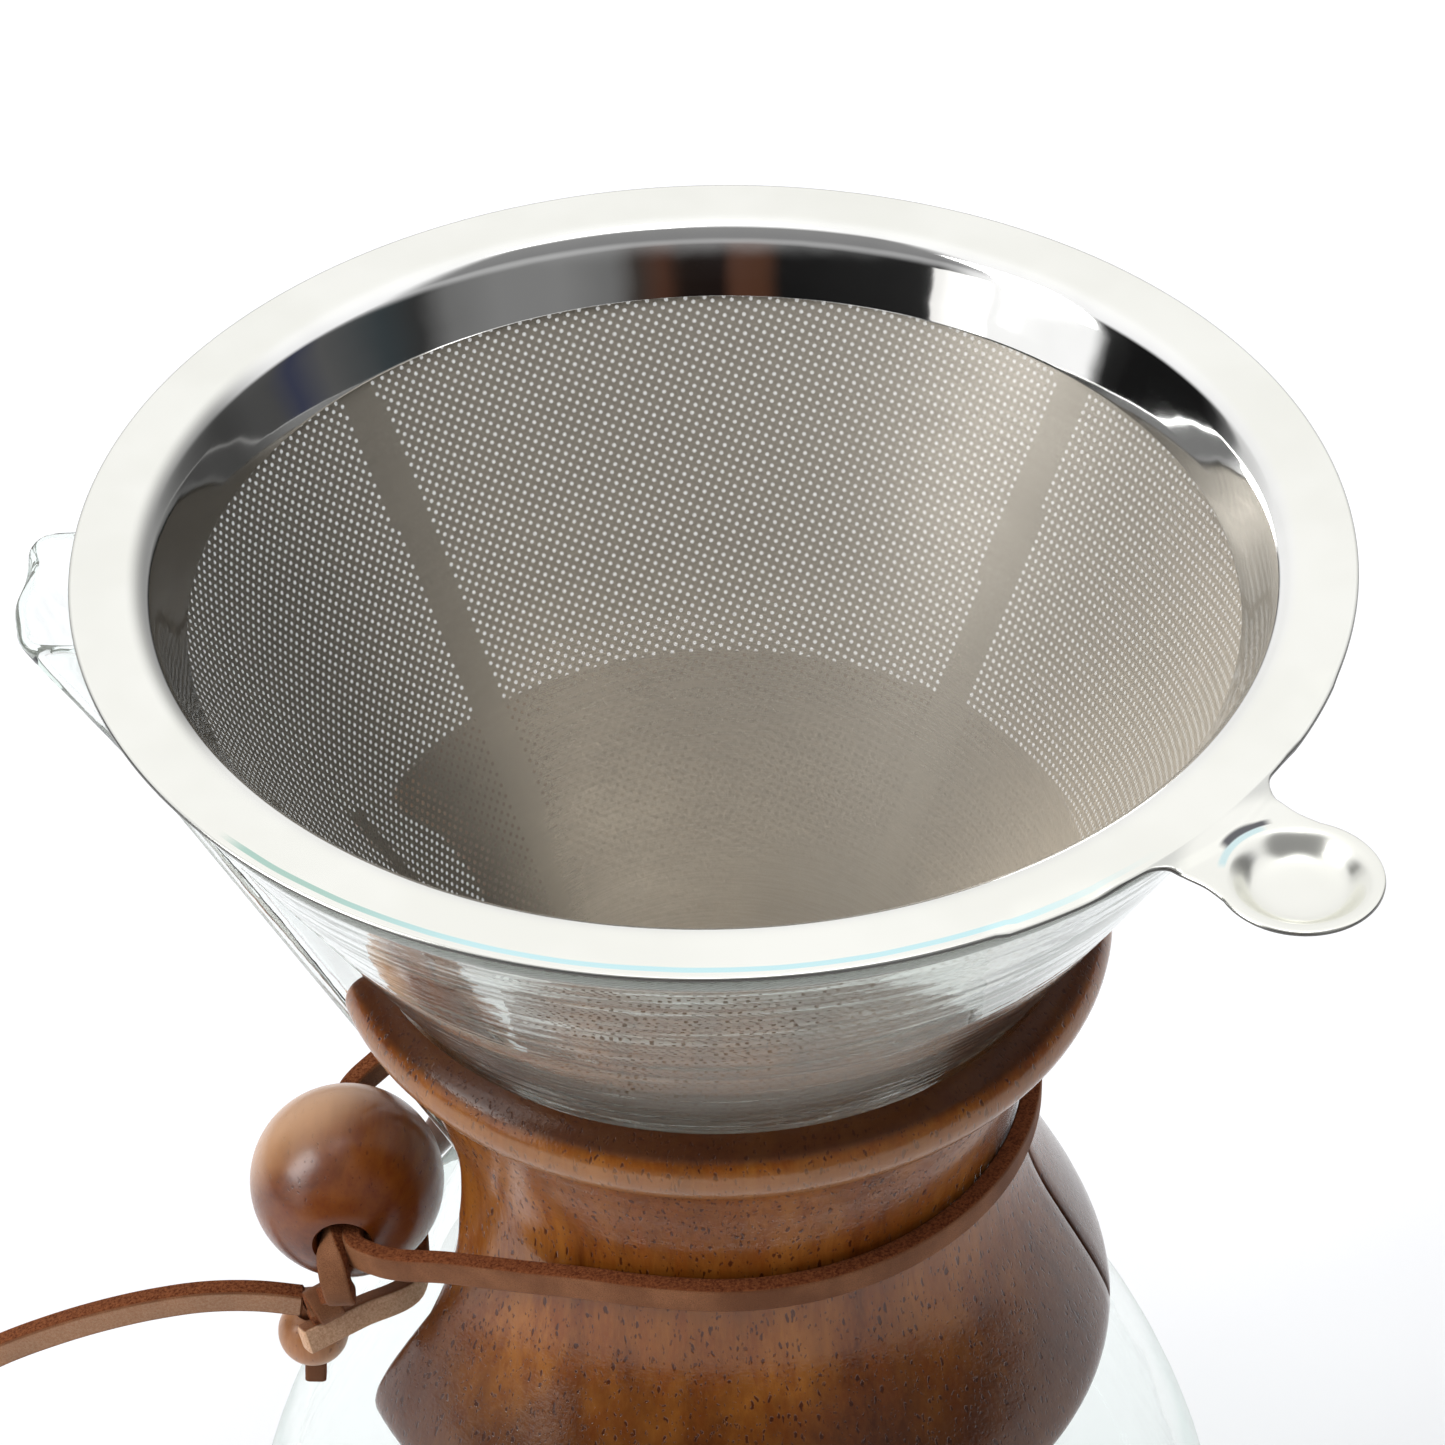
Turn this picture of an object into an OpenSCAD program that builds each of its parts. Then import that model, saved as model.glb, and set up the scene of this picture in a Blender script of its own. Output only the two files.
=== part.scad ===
// Hourglass pour-over carafe with a wooden collar, a leather tie and a lift-out cone filter.
// Millimetres, +Z up. Origin: centre of the carafe's base, on the floor. Spout towards -X.

/* [Carafe] */
// Radius of the glass at the top rim
rim_r = 64.1; // [58:0.1:70]
// Height of the glass rim above the floor
rim_z = 204.2; // [180:0.2:230]
// Radius of the flat glass base
base_r = 46; // [40:1:52]
// Largest radius of the lower bulb
bulb_r = 60; // [54:0.5:66]
// Outer radius of the glass at the narrowest place of the neck
neck_r = 27.4; // [24:0.2:31]
// Glass wall thickness, measured along a radius, in the cone
wall = 2.9; // [2:0.1:4]

/* [Spout] */
// How far the spout lip stands from the carafe's axis
spout_reach = 69.6; // [66:0.2:74]
// Half of the width of the spout at its lip
spout_half_w = 9.2; // [7:0.2:12]
// Height of the spout's flat lip
spout_z = 200.6; // [196:0.2:203]
// Wall of the pouring channel
spout_wall = 2.4; // [1.6:0.2:3]

/* [Collar] */
// Turn of the whole collar about the carafe's axis
collar_turn = -5; // [-20:1:20]
// Half of the wide gap that leaves the pouring channel free
gap_half = 16.5; // [14:0.5:26]
// Half of that gap at the foot of the collar
gap_low = 19.5; // [14:0.5:28]
// Half of the thin seam on the other side
seam_half = 0.4; // [0.2:0.1:1.5]

/* [Tie] */
// Width of the leather lace
lace_w = 3.2; // [2.4:0.1:4]
// Thickness of the leather lace
lace_t = 2.2; // [1.4:0.1:3]
// Radius at which the lace lies on the waist
lace_r = 32.85; // [32:0.05:36]
// Height of the lace's middle on the waist
lace_z = 131; // [124:0.5:138]
// Radius of the large tie bead
bead_r = 10.7; // [9:0.1:12]
// Radius of the hole through the large tie bead
bead_bore_r = 3; // [2.8:0.1:4]
// Radius of the small end bead
small_r = 4; // [3:0.1:5]
// Radius of the hole through the small end bead
small_bore_r = 1.7; // [1.6:0.05:2.2]

/* [Filter] */
// Radius of the filter's stamped flange
flange_r = 65; // [60:0.5:70]
// Height of the flange's top face
flange_z = 205; // [181:0.2:231]
// Sheet thickness of the stamped ring
sheet = 0.6; // [0.4:0.1:1]
// Distance of the thumb tab's disc from the axis
tab_reach = 75.1; // [72:0.1:80]
// Radius of the thumb tab's disc
tab_r = 8; // [6:0.1:10]
// Direction of the thumb tab, counted from +X
tab_az = -44; // [-180:1:180]
// Radius growth of the filter cone per millimetre of height
cone_slope = 0.543; // [0.5:0.001:0.6]
// Height of the filter cone's bottom edge
cone_low_z = 121.5; // [118:0.5:130]

/* [Hidden] */
eps = 0.01;
cone_high_z = 200;

// glass, outside, from the axis at the base up to the rim
glass_out = [
  [0, 0], [base_r, 0], [base_r + 4, 1], [base_r + 8, 5], [bulb_r - 3, 11], [bulb_r - 1, 19],
  [bulb_r, 30], [bulb_r - 0.4, 44], [bulb_r - 2.6, 58], [bulb_r - 6.6, 71], [48, 83], [42, 94],
  [36.5, 103], [32, 110], [29, 116.5], [neck_r, 123], [neck_r + 0.1, 130], [neck_r + 0.7, 137], [29.5, 144.5],
  [rim_r, rim_z - 0.9], [rim_r - 0.5, rim_z - 0.2], [rim_r - 1.4, rim_z + 0.05], [0, rim_z + 0.05]
];
// the hollow inside, open at the top
glass_in = [
  [0, 3.4], [base_r - 1, 3.4], [base_r + 2.3, 4.2], [base_r + 5.8, 7.4], [bulb_r - 5.4, 12.4],
  [bulb_r - 3.5, 19.6], [bulb_r - 2.6, 30], [bulb_r - 3, 43.8], [bulb_r - 5.2, 57.3], [51, 70],
  [45.8, 81.7], [39.8, 92.6], [34.2, 102], [29.6, 109.7], [26.3, 116.6], [neck_r - 2.7, 123],
  [neck_r - 2.6, 130], [neck_r - 2.1, 137], [26.6, 144.5], [rim_r - wall, rim_z - 0.9],
  [rim_r - 2.3, rim_z - 0.2], [rim_r - 1.4, rim_z + 0.06], [rim_r - 1.4, 215], [0, 215]
];
// turned wooden collar: outside downwards, then up along the glass
collar_pts = [
  [39.5, 159.1], [40.6, 158.2], [41.5, 157], [42, 155.5], [41.9, 154.1], [41.1, 152.5],
  [39.1, 151.0], [37.7, 149.3], [36.1, 145.5], [34.6, 141], [33.3, 136.5], [32.65, 132.8], [32.65, 129],
  [33.0, 125], [33.8, 121], [35.4, 116.6], [37.6, 112], [40.2, 106.8], [42.4, 102], [43.5, 98.6],
  [43.6, 96.8], [42.9, 95.5], [41.9, 95.1],
  [41.6, 95.2], [36.8, 103.1], [32.3, 110.1], [29.3, 116.6], [27.75, 123], [27.85, 130],
  [28.4, 136.95], [29.9, 144.4], [38.7, 159.4]
];
// filter ring: inner wall up, over the flange, back under it and down
ring_pts = [
  [53.6, 197.9], [56.3, 202.9], [57.0, 204.1], [57.9, 204.75], [59.0, flange_z],
  [flange_r - 0.25, flange_z], [flange_r, flange_z - 0.2], [flange_r, flange_z - 0.4],
  [flange_r - 0.25, flange_z - sheet], [59.2, flange_z - sheet], [58.2, 204.05], [57.5, 203.5],
  [56.95, 202.7], [54.15, 197.9]
];
bowl_pts = [
  [0, 202.6], [2.6, 202.75], [4.6, 203.35], [6.0, 204.3], [6.7, flange_z], [7.5, flange_z],
  [7.5, flange_z - sheet], [7.0, flange_z - sheet], [6.4, 203.7], [4.9, 202.75], [2.8, 202.15], [0, 202]
];
// the spout's lower section, at the neck: its place along -X, half width and height
low_x = -30.6;
low_w = 6.6;
low_z = 124;
bead_at = [-41.9, -8, 123.5];
small_at = [-47, -10, 101.8];
arc_from = 245.5;
arc_turn = 251.1;
tail_route = [
  [-47.5, -14.5, 111.4], [-52, -14.3, 112], [-58, -14, 111.8], [-64, -13.8, 110.6], [-70, -13.6, 108.7],
  [-76, -13.4, 106.2], [-82, -13.2, 103.1], [-87.5, -13, 99.3], [-92.3, -12.8, 94.8], [-96.2, -12.6, 89.4],
  [-99, -12.4, 83.4], [-100.8, -12.2, 77]
];

// a flat bar across the spout with rounded ends: outer face at x, half width w, corner radius r
module bar(x, z, w, r) for (side = [-1, 1]) translate([x + r, side * (w - r), z]) cylinder(r = r, h = 0.05, $fn = 32);

// pouring channel: a long tapered U, made smaller by t for its hollow
module channel(t, top) {
  k = (top - low_z) / (spout_z - low_z);
  x = low_x + (-spout_reach - low_x) * k + t;
  w = low_w + (spout_half_w - low_w) * k - t;
  r = 5 - 2 * k - t;
  hull() {
    bar(x, top, w, r);
    bar(x + 14, top, w, r);
    bar(low_x + t, low_z, low_w - t, 5 - t);
    bar(low_x + 10, low_z, low_w - t, 5 - t);
  }
  hull() {
    bar(low_x + t, low_z, low_w - t, 5 - t);
    bar(-26.9 + t, 109, 4.5 - t, 4.4 - t);
  }
}

module carafe() color([0.87, 0.94, 0.91, 0.35]) difference() {
  union() {
    rotate_extrude($fn = 96) polygon(glass_out);
    channel(0, spout_z);
  }
  rotate_extrude($fn = 96) polygon(glass_in);
  channel(spout_wall, rim_z + 3);
}

module collar_half() rotate([0, 0, collar_turn]) difference() {
  rotate_extrude($fn = 96) polygon(collar_pts);
  translate([-70, -seam_half, 80]) cube([140, 140, 100]);
  // the wide gap, a little wider at the foot than at the neck
  translate([-70, 0, 0]) rotate([90, 0, 90]) linear_extrude(height = 70)
    polygon([[-gap_low, 80], [-gap_low, 112], [-gap_half, 125], [-gap_half, 180], [70, 180], [70, 80]]);
}

module collar_front() color([0.55, 0.31, 0.15]) collar_half();

module collar_back() color([0.55, 0.31, 0.15])
  rotate([0, 0, collar_turn]) mirror([0, 1, 0]) rotate([0, 0, -collar_turn]) collar_half();

// a short block of lace: centre, turn about Z, size along x, y and z before the turn
module chip(at, turn, size) translate(at) rotate([0, 0, turn]) cube(size, center = true);

module thong() color([0.47, 0.27, 0.18]) union() {
  // round the waist
  rotate([0, 0, arc_from]) rotate_extrude(angle = arc_turn, $fn = 96)
    translate([lace_r, lace_z - lace_w / 2]) square([lace_t, lace_w]);
  // front run to the bead, then through it
  hull() {
    chip([33.95 * cos(arc_from), 33.95 * sin(arc_from), lace_z], arc_from, [lace_t, 0.1, lace_w]);
    chip([-40.75, -19.2, 123.6], -55, [lace_t, 0.1, lace_w]);
  }
  chip([-40.75, -7.6, 123.5], 0, [lace_t, 23.6, lace_w]);
  // back run to the bead, then through it
  hull() {
    chip([33.95 * cos(arc_from + arc_turn), 33.95 * sin(arc_from + arc_turn), lace_z], arc_from + arc_turn, [lace_t, 0.1, lace_w]);
    chip([-43.05, 4.6, 123.5], -48, [lace_t, 0.1, lace_w]);
  }
  chip([-43.05, -7.6, 123.5], 0, [lace_t, 24.6, lace_w]);
  // down from the front mouth of the bead
  hull() {
    chip([-43, -20.1, 123], 0, [lace_w, lace_t, 2.4]);
    chip([-42.4, -20.3, 115], 0, [lace_w, lace_t, 2.4]);
  }
  hull() {
    chip([-42.4, -20.3, 115], 0, [lace_w, lace_t, 2.4]);
    chip([-45.6, -16.4, 110.6], 0, [lace_w, lace_t, 2.8]);
  }
  // out of the back mouth, under the bead and forward to a cut end
  hull() {
    chip([-40.75, 4.0, 123.5], 0, [lace_t, 0.4, lace_w]);
    chip([-38.8, 6.0, 117.5], 0, [lace_t, lace_w, lace_t]);
  }
  hull() {
    chip([-38.8, 6.0, 117.5], 0, [lace_t, lace_w, lace_t]);
    chip([-36.2, -1, 110.9], 0, [lace_t, lace_t, lace_w]);
  }
  hull() {
    chip([-36.2, -1, 110.9], 0, [lace_t, lace_t, lace_w]);
    chip([-35.2, -9.5, 109.8], 20, [lace_t, lace_t, lace_w]);
  }
  hull() {
    chip([-35.2, -9.5, 109.8], 20, [lace_t, lace_t, lace_w]);
    chip([-47.9, -16.6, 106.6], -30, [0.4, lace_t, lace_w]);
  }
  // turn of the knot round that end
  translate([-44.6, -15.6, 110.6]) rotate([0, 0, 24]) rotate([0, 76, 0])
    rotate_extrude($fn = 48) translate([2.9, 0]) circle(r = 1.25, $fn = 24);
  // short end that carries the small bead
  hull() {
    chip([-45.6, -15.8, 110.6], 0, [2.4, 2, 2.4]);
    chip([small_at[0], small_at[1], 108.4], 0, [2.4, 2, 1]);
  }
  translate([small_at[0] - 1.2, small_at[1] - 1, 95.8]) cube([2.4, 2, 13]);
}

function unit(v) = v / norm(v);
function along(i) = let (n = len(tail_route) - 1)
  i == 0 ? unit(tail_route[1] - tail_route[0])
  : i == n ? unit(tail_route[n] - tail_route[n - 1])
  : unit(tail_route[i + 1] - tail_route[i - 1]);
lace_ring = [[1, 0.5], [0.72, 1], [-0.72, 1], [-1, 0.5], [-1, -0.5], [-0.72, -1], [0.72, -1], [1, -0.5]];

module thong_tail() color([0.47, 0.27, 0.18]) {
  n = len(tail_route);
  pts = [for (i = [0:n - 1]) let (t = along(i), side = unit(cross(t, [0, 1, 0])), back = cross(side, t))
    for (q = lace_ring) tail_route[i] + side * q[0] * lace_w / 2 + back * q[1] * lace_t / 2];
  faces = concat(
    [[for (k = [0:7]) k]],
    [for (i = [0:n - 2]) for (k = [0:7]) [i * 8 + k, (i + 1) * 8 + k, (i + 1) * 8 + (k + 1) % 8, i * 8 + (k + 1) % 8]],
    [[for (k = [7:-1:0]) (n - 1) * 8 + k]]
  );
  polyhedron(points = pts, faces = faces, convexity = 4);
}

module tie_bead() color([0.52, 0.29, 0.16]) translate(bead_at) difference() {
  sphere(r = bead_r, $fn = 72);
  rotate([90, 0, 0]) cylinder(r = bead_bore_r, h = 30, center = true, $fn = 48);
}

module end_bead() color([0.6, 0.33, 0.18]) translate(small_at) difference() {
  sphere(r = small_r, $fn = 48);
  cylinder(r = small_bore_r, h = 12, center = true, $fn = 36);
}

module filter_rim() color([0.86, 0.86, 0.85]) union() {
  rotate_extrude($fn = 96) polygon(ring_pts);
  rotate([0, 0, tab_az]) {
    difference() {
      union() {
        translate([tab_reach, 0, flange_z - sheet]) cylinder(r = tab_r, h = sheet, $fn = 64);
        translate([0, 0, flange_z - sheet]) linear_extrude(height = sheet)
          polygon([[60.5, -9.8], [64, -9.6], [66, -7.8], [68, -7.1], [tab_reach, -tab_r],
                   [tab_reach, tab_r], [68, 7.1], [66, 7.8], [64, 9.6], [60.5, 9.8]]);
      }
      translate([tab_reach, 0, 200]) cylinder(r = 7.2, h = 10, $fn = 64);
    }
    translate([tab_reach, 0, 0]) rotate_extrude($fn = 64) polygon(bowl_pts);
  }
}

// a thin cone wall from height lo to hi, with its inside at a plus the slope
module cone_wall(a, t, lo, hi) rotate_extrude($fn = 96) polygon([
  [a + cone_slope * (lo - 197.9), lo], [a + cone_slope * (hi - 197.9), hi],
  [a + t + cone_slope * (hi - 197.9), hi], [a + t + cone_slope * (lo - 197.9), lo]
]);

module filter_cone_mesh() color([0.62, 0.6, 0.58]) cone_wall(54.25, 0.25, cone_low_z, cone_high_z);

module filter_cone_outer() color([0.68, 0.67, 0.66]) cone_wall(54.55, 0.4, cone_low_z, cone_high_z - 0.3);

module filter_base() color([0.75, 0.75, 0.74]) rotate_extrude($fn = 72) polygon([
  [0, 120.2], [12.9, 120.2], [14.3, 121.2], [15.6, 123.6], [15.05, 123.7], [13.75, 121.3], [12.8, 120.8], [0, 120.8]
]);

carafe();
collar_front();
collar_back();
thong();
thong_tail();
tie_bead();
end_bead();
filter_rim();
filter_cone_outer();
filter_cone_mesh();
filter_base();
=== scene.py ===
import math

import bmesh
import bpy
import numpy as np
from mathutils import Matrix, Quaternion, Vector
from mathutils.geometry import delaunay_2d_cdt


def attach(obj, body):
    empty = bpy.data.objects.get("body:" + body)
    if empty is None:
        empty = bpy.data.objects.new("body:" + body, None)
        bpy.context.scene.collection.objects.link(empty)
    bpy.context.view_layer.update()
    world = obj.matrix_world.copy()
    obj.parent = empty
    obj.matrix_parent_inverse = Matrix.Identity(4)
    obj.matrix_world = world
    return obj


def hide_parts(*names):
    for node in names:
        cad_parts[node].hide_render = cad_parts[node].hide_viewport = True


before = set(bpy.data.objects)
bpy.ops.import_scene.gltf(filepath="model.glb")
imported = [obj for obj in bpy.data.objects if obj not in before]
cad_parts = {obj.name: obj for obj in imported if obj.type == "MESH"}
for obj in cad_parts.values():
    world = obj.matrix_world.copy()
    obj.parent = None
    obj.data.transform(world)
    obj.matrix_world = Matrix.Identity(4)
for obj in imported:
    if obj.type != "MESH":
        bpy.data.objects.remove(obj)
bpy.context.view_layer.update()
MM = 0.001

# ---------------- camera
# found by matching the flange's ellipse and the collar in the photograph
CAMERA_AT, LOOK_AT, LENS, ROLL = Vector((0, -0.40015, 0.51456)), Vector((0.0006, 0, 0.18127)), 124.57, -1.2466
cam_data = bpy.data.cameras.new("camera")
cam_data.sensor_width, cam_data.lens = 36, LENS
cam_data.clip_start, cam_data.clip_end = 0.01, 20
cam = bpy.data.objects.new("camera", cam_data)
bpy.context.scene.collection.objects.link(cam)
bpy.context.scene.camera = cam
cam.location = CAMERA_AT
cam.rotation_mode = "QUATERNION"
cam.rotation_quaternion = (LOOK_AT - CAMERA_AT).to_track_quat("-Z", "Y") @ Quaternion((0, 0, 1), math.radians(ROLL))


# ---------------- mesh helpers, in millimetres
def smooth01(x):
    """0 below 0, 1 above 1, and a smooth step between."""
    x = np.clip(x, 0, 1)
    return x * x * (3 - 2 * x)


def curve(points, step, corners=()):
    """Points on a smooth curve through the given ones, about step apart. It turns sharply only at corners."""
    p = np.asarray(points, float)
    cuts = [0, *corners, len(p) - 1]
    out = [p[:1]]
    for a, b in zip(cuts[:-1], cuts[1:]):
        q = p[a : b + 1]
        d = np.linalg.norm(np.diff(q, axis=0), axis=1)[:, None]
        v = np.diff(q, axis=0) / d
        m = np.vstack([v[:1], (v[1:] * d[:-1] + v[:-1] * d[1:]) / (d[:-1] + d[1:]), v[-1:]])
        for i in range(len(q) - 1):
            n = max(1, int(math.ceil(d[i, 0] / step)))
            t = (np.arange(1, n + 1) / n)[:, None]
            h = d[i, 0]
            out.append((2 * t**3 - 3 * t**2 + 1) * q[i] + (t**3 - 2 * t**2 + t) * h * m[i]
                       + (3 * t**2 - 2 * t**3) * q[i + 1] + (t**3 - t**2) * h * m[i + 1])
    return np.vstack(out)


def grid_faces(nu, nv):
    """Quads between nu rows of nv vertices. Each row is a closed ring."""
    u = np.arange(nu - 1)
    v = np.arange(nv)
    a, b = np.meshgrid(u, v, indexing="ij")
    b2 = (b + 1) % nv
    return np.stack([a * nv + b, a * nv + b2, (a + 1) * nv + b2, (a + 1) * nv + b], -1).reshape(-1, 4).tolist()


def piece(name, verts, faces, material, body, stands_for=(), sharp=40, merge=1e-4, recalc=True, attribute=None):
    """A mesh object from vertices in millimetres, smooth below the sharp angle, that rides on a CAD body.

    merge is how close two vertices, in millimetres, become one, and attribute is each vertex's "edge" value."""
    me = bpy.data.meshes.new(name)
    me.from_pydata((np.asarray(verts, float) * MM).tolist(), [], faces)
    if attribute is not None:
        layer = me.attributes.new("edge", "FLOAT", "POINT")
        layer.data.foreach_set("value", np.asarray(attribute, np.float32))
    if merge or recalc:
        bm = bmesh.new()
        bm.from_mesh(me)
        if merge:
            bmesh.ops.remove_doubles(bm, verts=bm.verts, dist=merge * MM)
            bmesh.ops.dissolve_degenerate(bm, edges=bm.edges, dist=1e-8)
        if recalc:
            bmesh.ops.recalc_face_normals(bm, faces=bm.faces)
        bm.to_mesh(me)
        bm.free()
    me.polygons.foreach_set("use_smooth", [True] * len(me.polygons))
    if sharp:
        me.set_sharp_from_angle(angle=math.radians(sharp))
    me.update()
    o = bpy.data.objects.new(name, me)
    bpy.context.scene.collection.objects.link(o)
    me.materials.append(material)
    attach(o, body)
    if stands_for:
        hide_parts(*stands_for)
    return o


def lathe(profile, n):
    """Vertices and faces of a profile of (radius, height), turned about Z in n steps."""
    p = np.asarray(profile, float)
    t = np.linspace(0, 2 * np.pi, n, endpoint=False)
    v = np.stack([np.outer(p[:, 0], np.cos(t)), np.outer(p[:, 0], np.sin(t)), np.repeat(p[:, 1:2], n, 1)], -1)
    return v.reshape(-1, 3), grid_faces(len(p), n)


def rounded_section(width, thick, corner=0.42, n=6):
    """A flat strip's section, anticlockwise, and how near each point is to the strip's thin edges."""
    out, edge = [], []
    x, y = width / 2 - corner, thick / 2 - corner
    for sx, sy, a0 in ((1, 1, 0), (-1, 1, 90), (-1, -1, 180), (1, -1, 270)):
        for k in range(n):
            a = math.radians(a0 + 90 * k / (n - 1))
            out.append((sx * x + corner * math.cos(a), sy * y + corner * math.sin(a)))
            edge.append(abs(math.cos(a)) ** 2)
    return np.array(out), np.array(edge)


def strip(path, widths, section, edge, cap=0.25):
    """A sweep of section along path, with domed ends cap high. widths gives the section's long direction at each point.

    Returns the vertices, the faces, and how near each vertex is to a cut edge."""
    p = np.asarray(path, float)
    t = np.gradient(p, axis=0)
    t /= np.linalg.norm(t, axis=1)[:, None]
    w = np.asarray(widths, float)
    w = w - (w * t).sum(1)[:, None] * t
    w /= np.linalg.norm(w, axis=1)[:, None]
    b = np.cross(t, w)
    n, m = len(p), len(section)
    ring = p[:, None] + w[:, None] * section[None, :, :1] + b[:, None] * section[None, :, 1:]
    v = ring.reshape(-1, 3)
    faces = grid_faces(n, m)
    for end, at in ((0, 0), (n - 1, (n - 1) * m)):
        out = -t[0] if end == 0 else t[-1]
        inner = ring[end].mean(0) + (ring[end] - ring[end].mean(0)) * 0.8 + out * cap
        base = len(v)
        v = np.vstack([v, inner, inner.mean(0)[None] + out * 0.02])
        faces += [[at + k, at + (k + 1) % m, base + (k + 1) % m, base + k] for k in range(m)]
        faces += [[base + k, base + (k + 1) % m, base + m] for k in range(m)]
    e = np.concatenate([np.tile(edge, n), np.tile(np.r_[edge * 0 + 1, 1], 2)])
    return v, faces, e


# ---------------- material helpers
class Tree:
    """Short calls for the nodes of one material."""

    def __init__(self, name):
        self.material = bpy.data.materials.new(name)
        self.material.use_nodes = True
        self.t = self.material.node_tree
        self.t.nodes.clear()
        self.out = self.t.nodes.new("ShaderNodeOutputMaterial")

    def node(self, kind, inputs=None, **props):
        n = self.t.nodes.new("ShaderNode" + kind)
        for k, v in props.items():
            setattr(n, k, v)
        for k, v in (inputs or {}).items():
            if isinstance(v, bpy.types.NodeSocket):
                self.t.links.new(v, n.inputs[k])
            else:
                n.inputs[k].default_value = v
        return n

    def math(self, op, a, b=0.0, c=0.0):
        return self.node("Math", {0: a, 1: b, 2: c}, operation=op).outputs[0]

    def mix(self, f, a, b, blend="MIX"):
        n = self.node("Mix", {0: f, 6: a, 7: b}, data_type="RGBA", blend_type=blend)
        return n.outputs[2]

    def remap(self, v, a, b, c=0.0, d=1.0):
        """v from a to b becomes c to d, smoothly, and stays there outside."""
        return self.node("MapRange", {0: v, 1: a, 2: b, 3: c, 4: d}, interpolation_type="SMOOTHSTEP").outputs[0]

    def coords(self, scale=(1000, 1000, 1000), rotation=(0, 0, 0), location=(0, 0, 0)):
        """Object coordinates in millimetres, times scale / 1000."""
        c = self.node("TexCoord").outputs["Object"]
        ins = {"Vector": c, "Scale": scale, "Rotation": rotation, "Location": location}
        return self.node("Mapping", ins).outputs[0]

    def noise(self, vector, scale, detail=3.0, rough=0.55, distortion=0.0):
        ins = {"Vector": vector, "Scale": scale, "Detail": detail, "Roughness": rough, "Distortion": distortion}
        return self.node("TexNoise", ins).outputs[0]

    def bump(self, height, distance, strength=1.0, normal=None):
        ins = {"Height": height, "Distance": distance, "Strength": strength}
        if normal is not None:
            ins["Normal"] = normal
        return self.node("Bump", ins).outputs[0]

    def length(self, x, y):
        return self.math("SQRT", self.math("ADD", self.math("MULTIPLY", x, x), self.math("MULTIPLY", y, y)))

    def normal_z(self):
        """How far the surface faces up, from -1 to 1, in the object's own frame."""
        return self.node("SeparateXYZ", {0: self.node("TexCoord").outputs["Normal"]}).outputs[2]

    def polar(self):
        """Radius in mm, azimuth in degrees and height in mm of the shaded point about the carafe's axis."""
        xyz = self.node("SeparateXYZ", {0: self.coords()})
        x, y, z = xyz.outputs
        return self.length(x, y), self.math("MULTIPLY", self.math("ARCTAN2", y, x), math.degrees(1)), z

    def finish(self, shader):
        self.t.links.new(shader, self.out.inputs["Surface"])
        return self.material


def rgb(r, g, b):
    """A colour given in sRGB from 0 to 255, as Blender's linear values."""
    return tuple((c / 255 / 12.92 if c <= 10 else ((c / 255 + 0.055) / 1.055) ** 2.4) for c in (r, g, b)) + (1.0,)


def glass_material():
    """Clear glass with slight waves, blown rings in the cone, and painted dark edges at grazing angles that stand in
    for dark reflections. Shadows and diffuse light pass it.
    """
    m = Tree("borosilicate_glass")
    wave = m.noise(m.coords(), 0.035, 2.0, 0.4)
    fine = m.noise(m.coords((1000, 1000, 300)), 0.35, 2.0, 0.5)
    rings = m.noise(m.coords((60, 60, 1000)), 0.22, 2.0, 0.5)
    rings = m.math("MULTIPLY", rings, m.remap(m.polar()[2], 146, 158, 0.0, 0.35))
    normal = m.bump(m.math("ADD", m.math("ADD", wave, rings), m.math("MULTIPLY", fine, 0.04)), 0.0006, 0.5)
    tint_and_painted_edge = m.mix(m.noise(m.coords(), 0.02, 1.0), (0.982, 0.994, 0.988, 1), (0.990, 0.997, 0.993, 1))
    rough = m.remap(m.noise(m.coords(), 0.2, 4.0), 0.55, 0.9, 0.0, 0.02)
    # painted dark reflection: the glass turns dark grey-green at grazing angles, more strongly low down, which draws
    # its outline
    edge = m.math("POWER", m.node("LayerWeight", {"Blend": 0.5}).outputs["Facing"], 11.0)
    tint_and_painted_edge = m.mix(m.math("MULTIPLY", edge, m.remap(m.polar()[2], 80, 105, 0.5, 0.14)), tint_and_painted_edge, (0.36, 0.41, 0.37, 1))
    glass = m.node("BsdfGlass", {"Color": tint_and_painted_edge, "Roughness": rough, "IOR": 1.47, "Normal": normal})
    clear = m.node("BsdfTransparent", {"Color": (0.975, 0.99, 0.985, 1)})
    path = m.node("LightPath")
    lets = m.math("MAXIMUM", path.outputs["Is Shadow Ray"], path.outputs["Is Diffuse Ray"])
    lets = m.math("MAXIMUM", lets, m.math("GREATER_THAN", path.outputs["Ray Depth"], 4.5))
    return m.finish(m.node("MixShader", {0: lets, 1: glass.outputs[0], 2: clear.outputs[0]}).outputs[0])


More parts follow.
